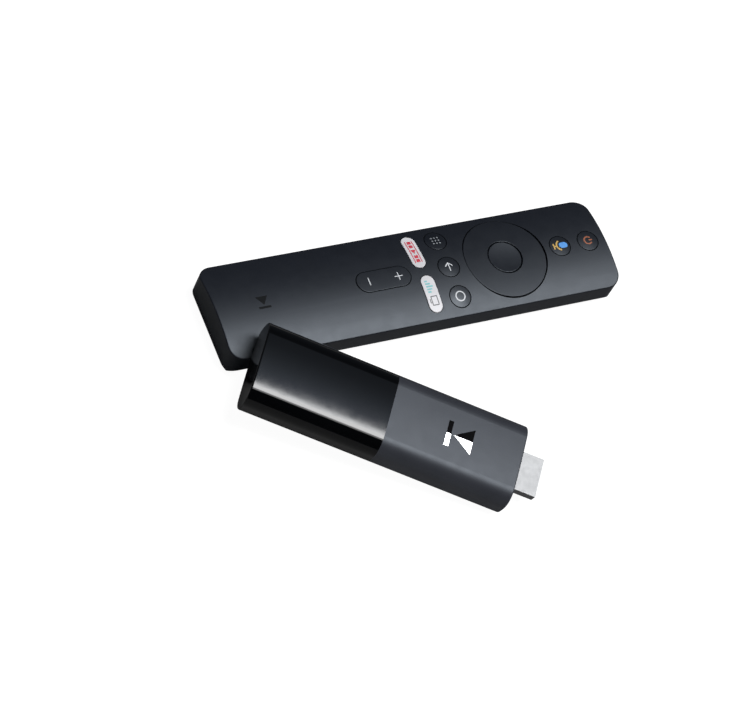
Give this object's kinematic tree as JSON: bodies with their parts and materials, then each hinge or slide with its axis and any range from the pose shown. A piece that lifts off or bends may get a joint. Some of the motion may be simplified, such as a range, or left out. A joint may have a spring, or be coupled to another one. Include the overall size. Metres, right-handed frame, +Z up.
{
  "type": "streaming media player with remote",
  "caption": "HDMI streaming stick, half gloss and half matte, leaning on its flat battery remote with crowned face, navigation ring, round keys and volume rocker.",
  "frame": {"origin": "centre of the remote's flat underside, which is also the plane of the table", "axes": "+Z up; +X along the remote towards its power key; +Y across it, away from the side the stick leans on"},
  "size_m": [0.1546, 0.1059, 0.0268],
  "materials": {
    "remote_plastic": "fine satin moulded, near-black blue-grey",
    "key_plastic": "satin moulded",
    "white_key_plastic": "satin white",
    "inner_plastic": "moulded",
    "cell_jacket": "printed shrink jacket",
    "spring_steel": "nickel plated",
    "circuit_board": "solder mask",
    "dome_steel": "stamped",
    "keypad_rubber": "moulded silicone",
    "chip_package": "moulded epoxy",
    "can_steel": "tinned sheet",
    "capacitor_ceramic": "sintered",
    "screw_steel": "blackened",
    "stick_gloss_plastic": "piano-black polish",
    "stick_matte_plastic": "fine sanded matte, dark blue-grey",
    "thermal_rubber": "soft gap pad",
    "inductor_ferrite": "pressed ferrite",
    "led_lens": "clear moulded",
    "spreader_aluminium": "milled",
    "antenna_brass": "stamped",
    "plug_steel": "nickel plated, stamped",
    "socket_plastic": "moulded",
    "contact_gold": "gold flashed"
  },
  "bodies": {
    "remote": {"remote_top_shell": "remote_plastic", "remote_bottom_shell": "remote_plastic", "battery_left": "cell_jacket", "battery_right": "cell_jacket", "battery_springs": "spring_steel", "battery_contacts": "spring_steel", "remote_board": "circuit_board", "key_domes": "dome_steel", "keypad_mat": "keypad_rubber", "radio_chip": "chip_package", "remote_crystal": "can_steel", "remote_microphone": "can_steel", "remote_capacitors": "capacitor_ceramic", "case_screws": "screw_steel"},
    "battery_door": {"battery_door": "remote_plastic"},
    "power_key": {"power_key": "key_plastic"},
    "voice_key": {"voice_key": "key_plastic"},
    "apps_key": {"apps_key": "key_plastic"},
    "back_key": {"back_key": "key_plastic"},
    "home_key": {"home_key": "key_plastic"},
    "app_key_rear": {"app_key_rear": "white_key_plastic"},
    "app_key_front": {"app_key_front": "white_key_plastic"},
    "volume_rocker": {"volume_rocker": "key_plastic"},
    "nav_frame": {"nav_frame": "inner_plastic"},
    "nav_ring": {"nav_ring": "key_plastic"},
    "ok_key": {"ok_key": "key_plastic"},
    "stick": {"gloss_cover": "stick_gloss_plastic", "matte_sleeve": "stick_matte_plastic", "carrier_frame": "inner_plastic", "main_board": "circuit_board", "board_screws": "screw_steel", "processor": "chip_package", "thermal_pad": "thermal_rubber", "memory_chips": "chip_package", "flash_chip": "chip_package", "wifi_module": "can_steel", "power_inductors": "inductor_ferrite", "status_led": "led_lens", "upper_shield": "can_steel", "lower_shield": "can_steel", "heat_spreader": "spreader_aluminium", "antennas": "antenna_brass", "light_pipe": "led_lens", "usb_shell": "plug_steel", "usb_tongue": "socket_plastic", "plug_shell": "plug_steel", "plug_insulator": "socket_plastic", "plug_contacts": "contact_gold"}
  },
  "joints": [
    {"name": "battery_door_slide", "type": "slide", "parent": "remote", "child": "battery_door", "axis": [-1, 0, 0], "range_m": [0, 0.065]},
    {"name": "power_key_press", "type": "slide", "parent": "remote", "child": "power_key", "axis": [0, 0, -1], "range_m": [0, 0.00035], "stiffness_N_per_m": 500, "springref_m": -0.0005},
    {"name": "voice_key_press", "type": "slide", "parent": "remote", "child": "voice_key", "axis": [0, 0, -1], "range_m": [0, 0.00035], "stiffness_N_per_m": 500, "springref_m": -0.0005},
    {"name": "apps_key_press", "type": "slide", "parent": "remote", "child": "apps_key", "axis": [0, 0, -1], "range_m": [0, 0.00035], "stiffness_N_per_m": 500, "springref_m": -0.0005},
    {"name": "back_key_press", "type": "slide", "parent": "remote", "child": "back_key", "axis": [0, 0, -1], "range_m": [0, 0.00035], "stiffness_N_per_m": 500, "springref_m": -0.0005},
    {"name": "home_key_press", "type": "slide", "parent": "remote", "child": "home_key", "axis": [0, 0, -1], "range_m": [0, 0.00035], "stiffness_N_per_m": 500, "springref_m": -0.0005},
    {"name": "app_key_rear_press", "type": "slide", "parent": "remote", "child": "app_key_rear", "axis": [0, 0, -1], "range_m": [0, 0.00035], "stiffness_N_per_m": 500, "springref_m": -0.0005},
    {"name": "app_key_front_press", "type": "slide", "parent": "remote", "child": "app_key_front", "axis": [0, 0, -1], "range_m": [0, 0.00035], "stiffness_N_per_m": 500, "springref_m": -0.0005},
    {"name": "volume_rocker_tilt", "type": "hinge", "parent": "remote", "child": "volume_rocker", "pos_m": [-0.0128, 0, 0.013], "axis": [0, 1, 0], "range_deg": [-2, 2], "stiffness_Nm_per_rad": 0.05},
    {"name": "nav_tilt_up_down", "type": "hinge", "parent": "remote", "child": "nav_frame", "pos_m": [0.0345, 0, 0.013], "axis": [1, 0, 0], "range_deg": [-1.3, 1.3], "stiffness_Nm_per_rad": 0.3},
    {"name": "nav_tilt_left_right", "type": "hinge", "parent": "nav_frame", "child": "nav_ring", "pos_m": [0.0345, 0, 0.013], "axis": [0, 1, 0], "range_deg": [-1.3, 1.3], "stiffness_Nm_per_rad": 0.3},
    {"name": "ok_key_press", "type": "slide", "parent": "remote", "child": "ok_key", "axis": [0, 0, -1], "range_m": [0, 0.00035], "stiffness_N_per_m": 500, "springref_m": -0.0005},
    {"name": "stick_lift", "type": "slide", "parent": "remote", "child": "stick", "axis": [0, 0, 1], "range_m": [0, 0.1]}
  ]
}
